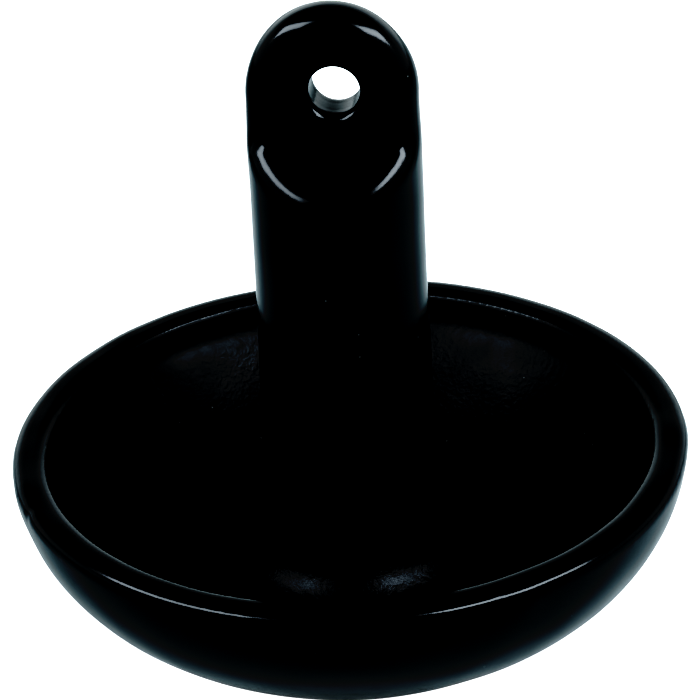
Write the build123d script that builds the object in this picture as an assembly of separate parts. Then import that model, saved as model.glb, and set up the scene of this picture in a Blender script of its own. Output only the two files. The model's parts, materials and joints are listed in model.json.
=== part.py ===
from build123d import *
from math import asin, atan2, copysign, cos, degrees, radians, sin, sqrt, tan
import os

# A mushroom anchor: one iron casting (a bowl with a shank and an eye) inside one
# continuous dipped vinyl skin. Millimetres, +Z up the shank, Y along the eye's hole.
# The origin is the centre of the small flat that the anchor stands on.
# Sizes are the bare casting's, and heights are measured from the bowl's widest plane.
# The vinyl's outside is the same shape with every surface moved out by COAT.

COAT = 2.0  # thickness of the vinyl everywhere, the hole's lining included

# The bowl
BOWL_RADIUS = 100.0  # at its widest, just under the rim
RIM_WALL = 7.1
RIM_OUTER_CORNER = 1.3
RIM_INNER_CORNER = 2.0
OUTER_LEAN = 5.6  # degrees from upright that the wall has turned in where its corner ends
INNER_LEAN = 6.0  # the same inside, where it is also the draft
OUTER_SIDE_RADIUS = 50.9  # the arc from the rim down to the bottom sphere
INNER_SIDE_RADIUS = 16.0
OUTER_DEPTH = 65.5  # down to the bottom sphere's lowest point
INNER_DEPTH = 50.7  # down to the floor's lowest point
FOOT_RADIUS = 25.0  # the flat that it stands on, measured on the vinyl

# The shank and its domed head
WAIST_RADIUS = 23.0
WAIST_HEIGHT = 84.5
SHANK_DRAFT = 0.7  # degrees a side, from the waist down
SHANK_FILLET = 20.0  # where the shank runs out into the bowl's floor
HEAD_RADIUS = 23.1
HEAD_HEIGHT = 98.0
DOME_RADIUS = 22.7  # where the head's side turns into the dome
DOME_HEIGHT = 114.4
DOME_RISE = 24.6
DOME_SIDE_RADIUS = 25.8  # the arc up to the sphere that tops the dome

# The eye: two flat faces that bend out into ramps, with a cored hole between them
TONGUE = 11.4  # thickness between the faces
BEND_HEIGHT = 105.2  # the faces are flat above this height
BEND_RADIUS = 8.0
BEND_ANGLE = 53.4  # degrees from a face to its ramp
FACE_EDGE = 4.6  # rounding around each face
HOLE_RADIUS = 9.3
HOLE_HEIGHT = 117.0
HOLE_OFFSET = 1.2  # the hole sits a little off the shank's axis
HOLE_EDGE = 1.0

NEAR = 0.01  # two positions closer than this are the same


def polar(centre, radius, angle):
    """The point at an angle in degrees on a circle."""
    return (centre[0] + radius * cos(radians(angle)), centre[1] + radius * sin(radians(angle)))


def sweep(centre, radius, start, end):
    """A circular arc between two angles in degrees."""
    return CenterArc(centre, radius, start, end - start)


def end_sphere(side, side_radius, apex):
    """The sphere on the axis that a side arc runs into: its centre, radius and joining angle."""
    pole = apex - copysign(side_radius, apex - side[1])
    height = (pole**2 - side[0] ** 2 - side[1] ** 2) / (2 * (pole - side[1]))
    radius = abs(apex - height)
    outward = copysign(1, radius - side_radius)
    angle = degrees(atan2(outward * (side[1] - height), outward * side[0]))
    return (0, height), radius, angle


def outer_corner():
    return (BOWL_RADIUS - RIM_OUTER_CORNER, 0)


def outer_side():
    """Centre of the outside's side arc, which carries on from the rim's outer corner."""
    return polar(outer_corner(), RIM_OUTER_CORNER - OUTER_SIDE_RADIUS, -OUTER_LEAN)


def inner_corner():
    radius = BOWL_RADIUS - RIM_WALL + RIM_INNER_CORNER
    return (radius, RIM_OUTER_CORNER - RIM_INNER_CORNER)


def inner_side():
    """Centre of the inside's side arc, which carries on from the rim's inner corner."""
    return polar(inner_corner(), RIM_INNER_CORNER + INNER_SIDE_RADIUS, 180 - INNER_LEAN)


def foot_height(skin):
    """Height of the standing flat on the vinyl, or on the casting COAT above it."""
    bottom, radius, _ = end_sphere(outer_side(), OUTER_SIDE_RADIUS + COAT, -OUTER_DEPTH - COAT)
    return bottom[1] - sqrt(radius**2 - FOOT_RADIUS**2) + COAT - skin


def bowl_lines(skin):
    """The bowl's half section, from the foot up over the rim and down to the middle of its floor."""
    rim_top = RIM_OUTER_CORNER + skin
    outside = OUTER_SIDE_RADIUS + skin
    bottom, bottom_radius, outer_join = end_sphere(outer_side(), outside, -OUTER_DEPTH - skin)
    inside = INNER_SIDE_RADIUS - skin
    floor, floor_radius, inner_join = end_sphere(inner_side(), inside, skin - INNER_DEPTH)
    foot = foot_height(skin)
    foot_angle = degrees(asin((foot - bottom[1]) / bottom_radius))
    return [
        Line((0, foot), polar(bottom, bottom_radius, foot_angle)),
        sweep(bottom, bottom_radius, foot_angle, outer_join),
        sweep(outer_side(), outside, outer_join, -OUTER_LEAN),
        sweep(outer_corner(), RIM_OUTER_CORNER + skin, -OUTER_LEAN, 90),
        Line((outer_corner()[0], rim_top), (inner_corner()[0], rim_top)),
        sweep(inner_corner(), RIM_INNER_CORNER + skin, 90, 180 - INNER_LEAN),
        sweep(inner_side(), inside, -INNER_LEAN, inner_join),
        sweep(floor, floor_radius, inner_join, -90),
        Line((0, floor[1] - floor_radius), (0, foot)),
    ]


def shank_radius(height, skin):
    """Radius of the tapering shank below its waist."""
    return WAIST_RADIUS + skin + (WAIST_HEIGHT - height) * tan(radians(SHANK_DRAFT))


def shank_lines(skin):
    """The half section of the shank and its domed head, from inside the bowl's floor up."""
    base = -(INNER_DEPTH + OUTER_DEPTH) / 2
    base_edge = (shank_radius(base, skin), base)
    waist = (WAIST_RADIUS + skin, WAIST_HEIGHT)
    head = (HEAD_RADIUS + skin, HEAD_HEIGHT)
    shoulder = (DOME_RADIUS + skin, DOME_HEIGHT)
    side = (DOME_RADIUS - DOME_SIDE_RADIUS, DOME_HEIGHT)
    side_radius = DOME_SIDE_RADIUS + skin
    top = DOME_HEIGHT + DOME_RISE + skin
    crown, crown_radius, join = end_sphere(side, side_radius, top)
    up_shank = polar((0, 0), 1, 90 + SHANK_DRAFT)
    return [
        Line((0, base), base_edge),
        Line(base_edge, waist),
        Spline(waist, head, shoulder, tangents=[up_shank, (0, 1)]),
        sweep(side, side_radius, 0, join),
        sweep(crown, crown_radius, join, 90),
        Line((0, top), (0, base)),
    ]


def turned(skin):
    """The bowl and the shank as one turned shape, with the shank run out into the floor."""
    section = make_face(bowl_lines(skin)) + make_face(shank_lines(skin))
    root = (shank_radius(-INNER_DEPTH, skin), -INNER_DEPTH)
    corner = section.vertices().sort_by_distance(root)[0]
    section = fillet(corner, SHANK_FILLET - skin)
    return revolve(Plane.XZ * section, Axis.Z)


def cutter_lines(face, skin):
    """The section of what is taken off one side of the head: down the face, then out down the ramp."""
    radius = BEND_RADIUS - skin
    bend = (face + radius, BEND_HEIGHT)
    ramp = polar(bend, radius, 180 + BEND_ANGLE)
    clear = 2 * HEAD_RADIUS
    ramp_end = (clear, ramp[1] - (clear - ramp[0]) / tan(radians(BEND_ANGLE)))
    top = BEND_HEIGHT + clear
    return [
        Line((face, top), (face, BEND_HEIGHT)),
        sweep(bend, radius, 180, 180 + BEND_ANGLE),
        Line(ramp, ramp_end),
        Line(ramp_end, (clear, top)),
        Line((clear, top), (face, top)),
    ]


def face_cutters(face, skin):
    """What is taken off both sides of the head."""
    section = Plane.YZ * make_face(cutter_lines(face, skin))
    cutter = extrude(section, amount=2 * HEAD_RADIUS, both=True)
    return cutter + mirror(cutter, Plane.XZ)


def face_outline(body, face):
    """The closed curve around each of the eye's two faces."""
    curves = [edge for edge in body.edges() if edge.geom_type != GeomType.LINE]
    return [edge for edge in curves if abs(edge.center().Y) > face - NEAR]


def hole_mouths(body, radius, face):
    """The two circles where the hole meets the faces."""
    circles = body.edges().filter_by(GeomType.CIRCLE)
    mouths = [edge for edge in circles if abs(edge.radius - radius) < NEAR]
    return [edge for edge in mouths if abs(abs(edge.center().Y) - face) < NEAR]


def anchor(skin):
    """The whole anchor with every surface moved out by skin, standing on z = 0 when coated."""
    face = TONGUE / 2 + skin
    radius = HOLE_RADIUS - skin
    body = turned(skin) - face_cutters(face, skin)
    body = fillet(face_outline(body, face), FACE_EDGE + skin)
    body -= Pos(HOLE_OFFSET, 0, HOLE_HEIGHT) * Rot(90, 0, 0) * Cylinder(radius, 4 * face)
    body = fillet(hole_mouths(body, radius, face), HOLE_EDGE + skin)
    return Pos(0, 0, -foot_height(COAT)) * body


iron_casting = anchor(0)
vinyl_coating = anchor(COAT) - iron_casting

os.makedirs("parts", exist_ok=True)
export_step(iron_casting, "parts/iron_casting.step")
export_step(vinyl_coating, "parts/vinyl_coating.step")
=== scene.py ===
import json
import math

import bmesh
import bpy
import numpy as np
from mathutils import Matrix, Vector


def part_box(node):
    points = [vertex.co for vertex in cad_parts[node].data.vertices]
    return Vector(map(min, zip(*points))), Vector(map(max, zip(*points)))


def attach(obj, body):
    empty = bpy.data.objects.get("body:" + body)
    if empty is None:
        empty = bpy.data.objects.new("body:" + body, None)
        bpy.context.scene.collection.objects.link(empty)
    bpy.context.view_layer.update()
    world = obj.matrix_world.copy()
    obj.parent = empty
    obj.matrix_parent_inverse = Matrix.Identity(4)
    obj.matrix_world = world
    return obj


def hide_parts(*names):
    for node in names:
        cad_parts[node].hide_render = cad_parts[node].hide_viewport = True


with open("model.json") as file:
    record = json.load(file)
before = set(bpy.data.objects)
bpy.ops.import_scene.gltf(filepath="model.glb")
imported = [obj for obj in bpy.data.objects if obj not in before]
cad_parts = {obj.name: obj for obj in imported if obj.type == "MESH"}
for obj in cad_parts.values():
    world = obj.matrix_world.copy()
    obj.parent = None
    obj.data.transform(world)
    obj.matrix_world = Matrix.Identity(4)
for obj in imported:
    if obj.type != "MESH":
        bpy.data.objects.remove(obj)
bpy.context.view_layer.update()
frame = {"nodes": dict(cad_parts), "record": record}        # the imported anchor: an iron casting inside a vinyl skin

# A vinyl-dipped mushroom anchor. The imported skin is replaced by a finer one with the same
# shape, drawn from the formulas below, plus the small unevenness of a dipped coating.
# Shape formulas work in millimetres; the scene is in metres.
MM = 0.001  # metres in a millimetre
SKIN_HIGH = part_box("vinyl_coating")[1]
EYE = next(m for m in frame["record"]["mounts"] if m["name"] == "shackle_eye")

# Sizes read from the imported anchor
BOWL_RADIUS = SKIN_HIGH.x / MM
TOP = SKIN_HIGH.z / MM
HOLE_RADIUS = EYE["dims"]["r_mm"]
HOLE_X = EYE["pos_m"][0] / MM
HOLE_Z = EYE["pos_m"][2] / MM

# The skin's outside, as radii from the axis and heights from the bowl's widest plane
WIDEST = TOP - 141.0  # height of that plane above the floor
OUTER_CORNER = (98.7, 0.0)  # centre of the rim's outer rounding
OUTER_CORNER_RADIUS = 3.3
INNER_CORNER = (94.9, -0.7)
INNER_CORNER_RADIUS = 4.0
OUTER_LEAN = 5.6  # degrees that the wall has turned in where the rim's roundings end
INNER_LEAN = 6.0
OUTER_SIDE_RADIUS = 52.9  # the arc down from the rim to the bottom sphere
OUTER_APEX = -67.5
INNER_SIDE_RADIUS = 14.0
INNER_APEX = -48.7
FOOT_EDGE = 0.8
WAIST = (25.0, 84.5)
HEAD = (25.1, 98.0)
SHOULDER = (24.7, 114.4)
HEAD_SLOPE = 0.014
SHANK_DRAFT = 0.7
SHANK_FILLET = 18.0
DOME_SIDE_RADIUS = 27.8
DOME_APEX = 141.0
FACE = 7.7  # half the thickness between the eye's faces
BEND_RADIUS = 6.0  # where each face bends out into a ramp
BEND_HEIGHT = 105.2
BEND_ANGLE = 53.4
FACE_EDGE = 6.6
HOLE_EDGE = 3.0


# ---------------------------------------------------------------- the skin's shape

def direction(degrees):
    return np.array([math.cos(math.radians(degrees)), math.sin(math.radians(degrees))])


def end_sphere(side, side_radius, apex):
    """Height of the centre, on the axis, of the sphere that a side arc runs into."""
    pole = apex - math.copysign(side_radius, apex - side[1])
    return (pole**2 - side[0] ** 2 - side[1] ** 2) / (2 * (pole - side[1]))


def end_cap(r, z, side, side_radius, apex):
    """Distance from a turned surface that is a side arc running into a sphere on the axis."""
    height = end_sphere(side, side_radius, apex)
    sphere_radius = abs(apex - height)
    # The line through both centres parts the sphere, which is nearer the axis, from the side
    towards = math.copysign(1, (apex - side[1]) * (sphere_radius - side_radius))
    on_sphere = towards * ((z - height) * side[0] - (side[1] - height) * r) > 0
    from_side = np.hypot(r - side[0], z - side[1]) - side_radius
    from_sphere = np.hypot(r, z - height) - sphere_radius
    return np.where(on_sphere, from_sphere, from_side)


def rounded(distance, r, z, centre, radius, first, last):
    """A turned distance whose corner is an arc, from one direction round to another."""
    right, up = r - centre[0], z - centre[1]
    after_first = first[0] * up - first[1] * right > 0
    before_last = right * last[1] - up * last[0] > 0
    return np.where(after_first & before_last, np.hypot(right, up) - radius, distance)


def rounded_join(a, b, radius, cosine=0.0):
    """Where both solids are, with a round edge; cosine is the one between their normals."""
    u, v = a + radius, b + radius
    across = np.sqrt(np.maximum(u**2 + v**2 - 2 * u * v * cosine, 0) / (1 - cosine**2))
    at_edge = (u > cosine * v) & (v > cosine * u)
    return np.where(at_edge, across - radius, np.maximum(a, b))


def hermite(z, low, high, low_slope, high_slope):
    """Radius along a smooth curve between two (radius, height) points."""
    span = high[1] - low[1]
    t = np.clip((z - low[1]) / span, 0, 1)
    return (
        (2 * t**3 - 3 * t**2 + 1) * low[0]
        + (t**3 - 2 * t**2 + t) * span * low_slope
        + (3 * t**2 - 2 * t**3) * high[0]
        + (t**3 - t**2) * span * high_slope
    )


def shank(r, z):
    """Distance from the tapering shank and its domed head."""
    draft = math.tan(math.radians(SHANK_DRAFT))
    below = WAIST[0] + (WAIST[1] - z) * draft
    waist = hermite(z, WAIST, HEAD, -draft, HEAD_SLOPE)
    head = hermite(z, HEAD, SHOULDER, HEAD_SLOPE, 0)
    radius = np.where(z < WAIST[1], below, np.where(z < HEAD[1], waist, head))
    dome_side = (SHOULDER[0] - DOME_SIDE_RADIUS, SHOULDER[1])
    dome = end_cap(r, z, dome_side, DOME_SIDE_RADIUS, DOME_APEX)
    return np.where(z < SHOULDER[1], r - radius, dome)


OUTER_SIDE = OUTER_CORNER + (OUTER_CORNER_RADIUS - OUTER_SIDE_RADIUS) * direction(-OUTER_LEAN)
INNER_SIDE = INNER_CORNER + (INNER_CORNER_RADIUS + INNER_SIDE_RADIUS) * direction(180 - INNER_LEAN)


def shank_fillet():
    """Centre of the fillet between the shank and the bowl's floor, and where it meets each."""
    floor = np.array([0, end_sphere(INNER_SIDE, INNER_SIDE_RADIUS, INNER_APEX)])
    reach = floor[1] - INNER_APEX - SHANK_FILLET
    outward, down = direction(SHANK_DRAFT), direction(SHANK_DRAFT - 90)
    start = WAIST + SHANK_FILLET * outward - floor
    along = -start @ down + math.sqrt((start @ down) ** 2 - start @ start + reach**2)
    centre = start + along * down
    return centre + floor, -outward, centre / reach


FILLET = shank_fillet()


def turned(r, z):
    """Distance from the thick-rimmed bowl with the shank standing in it."""
    inside_wall = (INNER_APEX + OUTER_APEX) / 2  # the shank's formula ends at this height
    outside = end_cap(r, z, OUTER_SIDE, OUTER_SIDE_RADIUS, OUTER_APEX)
    body = np.maximum(outside, z - OUTER_CORNER_RADIUS)
    body = rounded(body, r, z, OUTER_CORNER, OUTER_CORNER_RADIUS, direction(-OUTER_LEAN), direction(90))
    post = shank(r, z)
    hollow = np.maximum(end_cap(r, z, INNER_SIDE, INNER_SIDE_RADIUS, INNER_APEX), -post)
    hollow = rounded(hollow, r, z, FILLET[0], SHANK_FILLET, FILLET[1], FILLET[2])
    body = np.maximum(body, -hollow)
    body = rounded(
        body, r, z, INNER_CORNER, INNER_CORNER_RADIUS, direction(90), direction(180 - INNER_LEAN)
    )
    body = rounded_join(body, -WIDEST - z, FOOT_EDGE)
    return np.minimum(body, np.maximum(post, inside_wall - z))


def turned_with_slope(r, z, step=0.01):
    """The turned distance, and how it changes with radius and with height."""
    by_radius = turned(r + step, z) - turned(r - step, z)
    by_height = turned(r, z + step) - turned(r, z - step)
    return turned(r, z), by_radius / (2 * step), by_height / (2 * step)


def faces_with_slope(y, z):
    """Distance from the eye's faces and ramps, and its change away from y = 0 and with z."""
    right, up = np.abs(y) - FACE - BEND_RADIUS, z - BEND_HEIGHT
    reach = np.maximum(np.hypot(right, up), 1e-9)
    normal = direction(BEND_ANGLE)  # of the ramp
    on_face = up > 0
    on_ramp = right * normal[1] - up * normal[0] > 0
    kinds = [on_ramp, on_face]
    distance = np.select(kinds, [right * normal[0] + up * normal[1], right], -reach) + BEND_RADIUS
    by_y = np.select(kinds, [normal[0], 1], -right / reach)
    return distance, by_y, np.select(kinds, [normal[1], 0], -up / reach)


def skin_distance(p):
    """Distance of points, in millimetres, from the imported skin's outside; negative is inside."""
    x, y, z = p[:, 0], p[:, 1], p[:, 2] - WIDEST
    r = np.maximum(np.hypot(x, y), 1e-6)
    body, body_by_radius, body_by_height = turned_with_slope(r, z)
    face, face_by_y, face_by_height = faces_with_slope(y, z)
    cosine = body_by_radius * np.abs(y) / r * face_by_y + body_by_height * face_by_height
    body = rounded_join(body, face, FACE_EDGE, np.clip(cosine, -0.9, 0.9))
    across, above = x - HOLE_X, p[:, 2] - HOLE_Z
    reach = np.maximum(np.hypot(across, above), 1e-6)
    cosine = -above / reach * face_by_height
    return rounded_join(body, HOLE_RADIUS - reach, HOLE_EDGE, np.clip(cosine, -0.9, 0.9))


# ---------------------------------------------------------------- the dipped coating's unevenness

WAVE_COUNT = 26
WAVELENGTHS = (14, 60)  # shortest and longest
WAVE_DEPTH = 0.16
LIP_DEPTH = 0.07  # of the bead and groove around each end of the hole
LIP_WAVELENGTH = 3.6
LIP_REACH = 1.5  # beyond the hole's radius

# Runs and blisters in the coating: azimuth in degrees and height above the widest plane, then
# the radius and height of the swelling
RUNS = [(-159, -3, 7.0, 0.35), (-152, 1, 2.2, -0.35), (-55, -1, 5.0, 0.3), (-60, 2, 2.0, -0.25)]
BLISTERS = [(-160, 98.5, 1.5, 0.5), (-118, 101, 1.2, 0.25), (-65, 95, 1.2, 0.2)]

rng = np.random.default_rng(10)


def random_waves(count, shortest, longest, depth):
    """Wave vectors, phases and heights for a gentle uneven surface, all in millimetres."""
    heading = rng.normal(size=(count, 3))
    heading /= np.linalg.norm(heading, axis=1, keepdims=True)
    length = np.exp(rng.uniform(math.log(shortest), math.log(longest), count))
    height = depth * (length / longest) / math.sqrt(count)
    return heading * (2 * math.pi / length)[:, None], rng.uniform(0, 2 * math.pi, count), height


WAVES = random_waves(WAVE_COUNT, *WAVELENGTHS, WAVE_DEPTH)


def surface_point(azimuth, height):
    """A point on the skin at an azimuth and a height above the widest plane."""
    outward = direction(azimuth)
    r = np.linspace(BOWL_RADIUS + 2, 0, 4000)
    p = np.stack([r * outward[0], r * outward[1], np.full_like(r, height + WIDEST)], axis=1)
    return p[np.argmax(skin_distance(p) < 0)]


SWELLINGS = [(surface_point(a, z), radius, rise) for a, z, radius, rise in RUNS + BLISTERS]


def lip(p):
    """A faint bead around each end of the hole, with a groove beside it."""
    reach = np.hypot(p[:, 0] - HOLE_X, p[:, 2] - HOLE_Z)
    along = np.abs(p[:, 1]) - (FACE - HOLE_EDGE)
    bead = np.cos(2 * math.pi * along / LIP_WAVELENGTH) * np.exp(-((along / 2) ** 2))
    return LIP_DEPTH * bead * np.clip(HOLE_RADIUS + LIP_REACH - reach, 0, 1)


def dip(p):
    """How much thicker the dipped coating is at points than its even thickness."""
    vectors, phases, heights = WAVES
    thicker = np.sin(p @ vectors.T + phases) @ heights + lip(p)
    for centre, radius, rise in SWELLINGS:
        thicker += rise * np.exp(-((p - centre) ** 2).sum(1) / radius**2)
    return thicker


def coated_distance(p):
    """Distance of points from the finished coating's outside."""
    return skin_distance(p) - dip(p)


GENTLEST_SLOPE = 0.5  # below this a step would overshoot


def settle(p, steps=5, reach=0.02):
    """Points moved onto the finished coating's outside."""
    for _ in range(steps):
        rises = [
            (coated_distance(p + reach * axis) - coated_distance(p - reach * axis)) / (2 * reach)
            for axis in np.eye(3)
        ]
        slope = np.stack(rises, axis=1)
        move = coated_distance(p) / np.maximum((slope**2).sum(1), GENTLEST_SLOPE**2)
        p = p - move[:, None] * slope
    return p


# ---------------------------------------------------------------- building the skin

def islands(bm):
    """The mesh's separate closed surfaces, as lists of faces, largest first."""
    left, found = set(bm.faces), []
    while left:
        stack, island = [left.pop()], []
        while stack:
            face = stack.pop()
            island.append(face)
            for edge in face.edges:
                for other in edge.link_faces:
                    if other in left:
                        left.remove(other)
                        stack.append(other)
        found.append(island)
    return sorted(found, key=lambda island: -sum(face.calc_area() for face in island))


def packed_surfaces():
    """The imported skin's outside, and the surface it shares with the iron."""
    bm = bmesh.new()
    bm.from_mesh(frame["nodes"]["vinyl_coating"].data)
    bmesh.ops.remove_doubles(bm, verts=bm.verts, dist=1e-6)
    outside, inside = islands(bm)[:2]
    meshes = []
    for name, drop in (("outside", inside), ("inside", outside)):
        part = bm.copy()
        part.faces.ensure_lookup_table()
        indices = [face.index for face in drop]
        bmesh.ops.delete(part, geom=[part.faces[i] for i in indices], context="FACES")
        mesh = bpy.data.meshes.new(name)
        part.to_mesh(mesh)
        part.free()
        meshes.append(mesh)
    bm.free()
    return meshes


def points_of(mesh):
    flat = np.empty(3 * len(mesh.vertices))
    mesh.vertices.foreach_get("co", flat)
    return flat.reshape(-1, 3) / MM


def evaluated_mesh(obj):
    """A copy of the object's mesh with its modifiers applied."""
    graph = bpy.context.evaluated_depsgraph_get()
    return bpy.data.meshes.new_from_object(obj.evaluated_get(graph))


def mark_bowl(mesh):
    """Marks the bowl's inside for the material: 0 on the rim, 0.5 past its corner, 1 further down."""
    p = points_of(mesh)
    r, z = np.hypot(p[:, 0], p[:, 1]), p[:, 2] - WIDEST
    hollow = end_cap(r, z, INNER_SIDE, INNER_SIDE_RADIUS, INNER_APEX)
    from_crown = (INNER_CORNER[0] + OUTER_CORNER[0]) / 2 - r
    inside = (hollow < 1) & (from_crown > 0)
    depth = np.clip(from_crown / 2, 0, 1) + np.clip((INNER_CORNER[1] - 2 - z) / 8, 0, 1)
    mesh.attributes.new("bowl", "FLOAT", "POINT").data.foreach_set("value", depth / 2 * inside)


def vinyl_skin(grid):
    """The skin as one piece: a fine outside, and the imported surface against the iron."""
    outside, inside = packed_surfaces()
    obj = bpy.data.objects.new("vinyl_skin", outside)
    bpy.context.scene.collection.objects.link(obj)
    remesh = obj.modifiers.new("grid", "REMESH")
    remesh.mode = "VOXEL"
    remesh.voxel_size = grid * MM
    mesh = evaluated_mesh(obj)
    obj.modifiers.clear()
    points = settle(points_of(mesh))
    mesh.vertices.foreach_set("co", (points * MM).ravel())
    joined = bmesh.new()
    joined.from_mesh(mesh)
    joined.from_mesh(inside)
    for face in joined.faces:
        face.smooth = True
    joined.to_mesh(mesh)
    joined.free()
    obj.data = mesh
    mark_bowl(mesh)
    return obj


skin = vinyl_skin(grid=1.2)
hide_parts("vinyl_coating")
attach(skin, "root")


# ---------------------------------------------------------------- materials

def set_range(node, low, high, to_low, to_high):
    values = {"From Min": low, "From Max": high, "To Min": to_low, "To Max": to_high}
    for name, value in values.items():
        node.inputs[name].default_value = value


class Nodes:
    """Short names for wiring a material's nodes."""

    def __init__(self, name):
        self.material = bpy.data.materials.new(name)
        self.material.use_nodes = True
        self.tree = self.material.node_tree
        self.bsdf = self.tree.nodes["Principled BSDF"]
        self.place = self.add("ShaderNodeTexCoord").outputs["Object"]

    def add(self, kind, **values):
        node = self.tree.nodes.new(kind)
        for name, value in values.items():
            setattr(node, name, value)
        return node

    def link(self, source, target):
        self.tree.links.new(source, target)

    def noise(self, scale, detail=2.0, roughness=0.5):
        """Noise with about scale bumps to the metre."""
        node = self.add("ShaderNodeTexNoise")
        node.inputs["Scale"].default_value = scale
        node.inputs["Detail"].default_value = detail
        node.inputs["Roughness"].default_value = roughness
        self.link(self.place, node.inputs["Vector"])
        return node.outputs["Fac"]

    def spread(self, source, low, high, to_low, to_high):
        node = self.add("ShaderNodeMapRange")
        set_range(node, low, high, to_low, to_high)
        self.link(source, node.inputs["Value"])
        return node.outputs["Result"]

    def math(self, operation, a, b):
        node = self.add("ShaderNodeMath", operation=operation)
        for socket, value in zip(node.inputs, (a, b)):
            if isinstance(value, (int, float)):
                socket.default_value = value
            else:
                self.link(value, socket)
        return node.outputs[0]

    def blend(self, factor, a, b):
        node = self.add("ShaderNodeMix")
        self.link(factor, node.inputs["Factor"])
        self.link(a, node.inputs["A"])
        self.link(b, node.inputs["B"])
        return node.outputs["Result"]

    def ramp(self, factor, low, high):
        node = self.add("ShaderNodeValToRGB")
        node.color_ramp.elements[0].color = low
        node.color_ramp.elements[1].color = high
        self.link(factor, node.inputs["Fac"])
        return node.outputs["Color"]

    def bump(self, height, distance, below=None):
        """A bump distance metres deep."""
        node = self.add("ShaderNodeBump")
        node.inputs["Strength"].default_value = 1.0
        node.inputs["Distance"].default_value = distance
        self.link(height, node.inputs["Height"])
        if below is not None:
            self.link(below, node.inputs["Normal"])
        return node.outputs["Normal"]


def dusty_colour(m):
    """Black, with a few pale specks of dust."""
    cells = m.add("ShaderNodeTexVoronoi")
    cells.inputs["Scale"].default_value = 130
    m.link(m.place, cells.inputs["Vector"])
    speck = m.math("LESS_THAN", cells.outputs["Distance"], 0.045)
    chosen = m.math("LESS_THAN", m.noise(40), 0.5)
    dusty = m.math("MULTIPLY", speck, chosen)
    return m.ramp(dusty, (0.006, 0.006, 0.007, 1), (0.12, 0.12, 0.115, 1))


def vinyl_material():
    m = Nodes("vinyl")
    m.link(dusty_colour(m), m.bsdf.inputs["Base Color"])
    m.bsdf.inputs["IOR"].default_value = 1.5
    bowl = m.add("ShaderNodeAttribute", attribute_name="bowl").outputs["Fac"]
    # The skin shines on the rim, the outside and the head, and is duller and rougher in the bowl
    patchy = m.noise(60, 3)
    shiny = m.spread(patchy, 0.35, 0.65, 0.16, 0.22)
    dull = m.spread(patchy, 0.35, 0.65, 0.38, 0.47)
    m.link(m.blend(m.spread(bowl, 0, 0.5, 0, 1), shiny, dull), m.bsdf.inputs["Roughness"])
    fine = m.bump(m.noise(900, 2), 0.01 * MM)
    dimples = m.math("MULTIPLY", m.noise(600, 2), m.spread(bowl, 0.5, 1, 0, 1))
    m.link(m.bump(dimples, 0.17 * MM, fine), m.bsdf.inputs["Normal"])
    return m.material


def iron_material():
    m = Nodes("cast_iron")
    m.bsdf.inputs["Metallic"].default_value = 1.0
    grain = m.noise(700, 4, 0.6)
    mottled = m.ramp(grain, (0.10, 0.095, 0.09, 1), (0.22, 0.21, 0.20, 1))
    m.link(mottled, m.bsdf.inputs["Base Color"])
    m.link(m.spread(grain, 0.3, 0.7, 0.5, 0.75), m.bsdf.inputs["Roughness"])
    m.link(m.bump(grain, 0.2 * MM), m.bsdf.inputs["Normal"])
    return m.material


def floor_material():
    """Pale and matte, with painted light in its colour: brighter away from the camera and to the right. Overexposed
    to the camera itself.
    """
    m = Nodes("pale_floor")
    spot = m.add("ShaderNodeSeparateXYZ")
    m.link(m.place, spot.inputs["Vector"])
    # Painted light: the floor's colour runs from darker at the front left to lighter at the back right, and is tinted
    # a little blue, so its reflection in the vinyl is brighter and bluer on the right
    away = m.math("ADD", spot.outputs["X"], m.math("MULTIPLY", spot.outputs["Y"], 1.5))
    painted_falloff = m.ramp(m.spread(away, -0.3, 0.25, 0, 1), (0.40, 0.45, 0.46, 1), (0.62, 0.68, 0.69, 1))
    m.link(painted_falloff, m.bsdf.inputs["Base Color"])
    m.bsdf.inputs["Roughness"].default_value = 0.9
    m.bsdf.inputs["Specular IOR Level"].default_value = 0.0
    m.bsdf.inputs["Emission Color"].default_value = (1, 1, 1, 1)
    path = m.add("ShaderNodeLightPath").outputs["Is Camera Ray"]
    m.link(m.spread(path, 0, 1, 0.18, 1), m.bsdf.inputs["Emission Strength"])
    return m.material


def paint(obj, material):
    obj.data.materials.clear()
    obj.data.materials.append(material)


vinyl = vinyl_material()
paint(skin, vinyl)
paint(frame["nodes"]["vinyl_coating"], vinyl)
paint(frame["nodes"]["iron_casting"], iron_material())


# ---------------------------------------------------------------- floor, light and camera

TURN = math.radians(7)  # the camera stands this far round from the front of the eye
LIGHT_TARGET = Vector((0, 0, 80 * MM))
LIGHT_DISTANCE = 1.0
LIGHT_DEPTH = 0.34  # across each softbox's short side
FLOOR_SIZE = 12.0
FLOOR_GAP = 0.2 * MM  # keeps the floor clear of the foot


def from_camera_side(x, y, z):
    """A direction given with +Y pointing away from the camera, turned into the frame."""
    return Matrix.Rotation(TURN, 3, "Z") @ Vector((x, y, z))


def softbox(name, azimuth, elevation, tilt, width, power):
    """A long soft light looking at the bowl, placed by angles in degrees from the camera's side."""
    light = bpy.data.lights.new(name, "AREA")
    light.shape = "RECTANGLE"
    light.size = width
    light.size_y = LIGHT_DEPTH
    light.energy = power
    light.color = (0.88, 0.95, 1.0)
    lamp = bpy.data.objects.new(name, light)
    bpy.context.scene.collection.objects.link(lamp)
    turned_to_it = Matrix.Rotation(TURN + math.radians(azimuth), 3, "Z")
    raised = Matrix.Rotation(math.radians(90 - elevation), 3, "X")
    tilted = Matrix.Rotation(math.radians(tilt), 3, "Z")
    axes = turned_to_it @ raised @ tilted
    centre = LIGHT_TARGET + axes.col[2] * LIGHT_DISTANCE
    lamp.matrix_world = Matrix.Translation(centre) @ axes.to_4x4()


softbox("softbox_left", -69.5, 46, 16, 0.78, 6.9)
softbox("softbox_right", 58.5, 46, -14, 0.80, 8.4)


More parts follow.
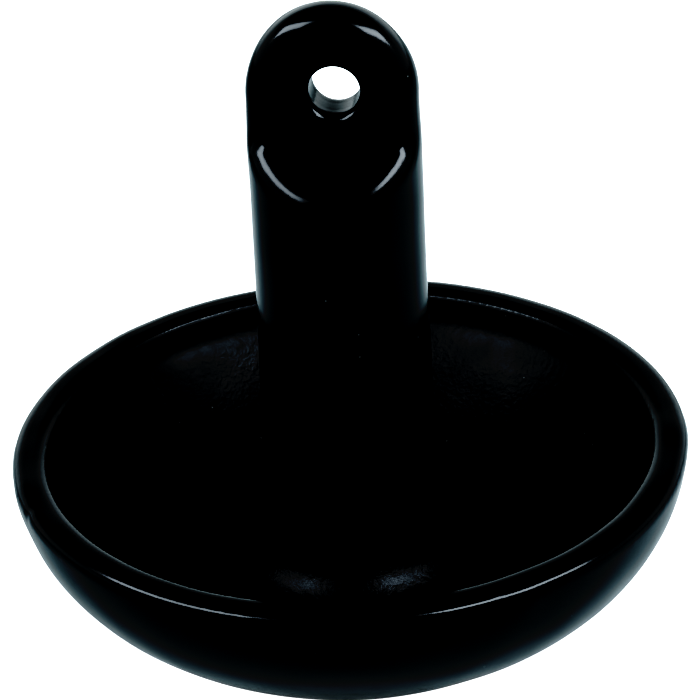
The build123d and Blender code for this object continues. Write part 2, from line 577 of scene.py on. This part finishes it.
def pale_floor():
    edge = FLOOR_SIZE / 2
    corners = [(-edge, -edge, 0), (edge, -edge, 0), (edge, edge, 0), (-edge, edge, 0)]
    mesh = bpy.data.meshes.new("floor")
    mesh.from_pydata(corners, [], [(0, 1, 2, 3)])
    mesh.materials.append(floor_material())
    floor = bpy.data.objects.new("floor", mesh)
    floor.location.z = -FLOOR_GAP
    bpy.context.scene.collection.objects.link(floor)


pale_floor()


def studio_world():
    """Pale near the floor and darker above, and plain white to the camera."""
    world = bpy.data.worlds.new("studio")
    bpy.context.scene.world = world
    world.use_nodes = True
    nodes, links = world.node_tree.nodes, world.node_tree.links
    nodes.clear()
    out = nodes.new("ShaderNodeOutputWorld")
    place = nodes.new("ShaderNodeTexCoord")
    height = nodes.new("ShaderNodeSeparateXYZ")
    fade = nodes.new("ShaderNodeMapRange")
    set_range(fade, 0.35, 0.6, 1.5, 0.35)
    studio = nodes.new("ShaderNodeBackground")
    studio.inputs["Color"].default_value = (0.9, 0.98, 1.0, 1)
    seen = nodes.new("ShaderNodeBackground")
    seen.inputs["Color"].default_value = (1, 1, 1, 1)
    path = nodes.new("ShaderNodeLightPath")
    mix = nodes.new("ShaderNodeMixShader")
    links.new(place.outputs["Generated"], height.inputs["Vector"])
    links.new(height.outputs["Z"], fade.inputs["Value"])
    links.new(fade.outputs["Result"], studio.inputs["Strength"])
    links.new(path.outputs["Is Camera Ray"], mix.inputs["Fac"])
    links.new(studio.outputs["Background"], mix.inputs[1])
    links.new(seen.outputs["Background"], mix.inputs[2])
    links.new(mix.outputs["Shader"], out.inputs["Surface"])


studio_world()


VIEW_HEIGHT = math.radians(28.644)
ROLL = math.radians(2.807)
FOCAL_PIXELS = 2739.6  # for an image 700 pixels across
IMAGE_PIXELS = 700
SENSOR = 36
# In bowl radii: how far the camera stands off, and where it looks, right of and above the axis
STAND_OFF = 8
LOOK_RIGHT = 0.0145
LOOK_UP = 0.3016


def photo_camera():
    """A long lens at the viewing angle of the reference, rolled a little."""
    radius = BOWL_RADIUS * MM
    forward = from_camera_side(0, math.cos(VIEW_HEIGHT), -math.sin(VIEW_HEIGHT))
    right = from_camera_side(1, 0, 0)
    up = right.cross(forward)
    data = bpy.data.cameras.new("camera")
    data.sensor_width = SENSOR
    data.lens = SENSOR * FOCAL_PIXELS / IMAGE_PIXELS
    camera = bpy.data.objects.new("camera", data)
    bpy.context.scene.collection.objects.link(camera)
    target = Vector((0, 0, WIDEST * MM + LOOK_UP * radius)) + right * LOOK_RIGHT * radius
    tilted_up = math.cos(ROLL) * up + math.sin(ROLL) * right
    tilted_right = forward.cross(tilted_up)
    axes = Matrix((tilted_right, tilted_up, -forward)).transposed().to_4x4()
    camera.matrix_world = Matrix.Translation(target - forward * STAND_OFF * radius) @ axes
    bpy.context.scene.camera = camera


photo_camera()


def contrasty_exposure():
    """Crushes the blacks, as in the reference; each pair is a brightness and what it becomes."""
    settings = bpy.context.scene.view_settings
    settings.view_transform = "Standard"
    settings.use_curve_mapping = True
    mapping = settings.curve_mapping
    for seen, shown in ((0.1, 0.002), (0.15, 0.01), (0.21, 0.072), (0.4, 0.36), (0.8, 0.95)):
        mapping.curves[3].points.new(seen, shown)
    mapping.update()


contrasty_exposure()

bpy.context.view_layer.update()
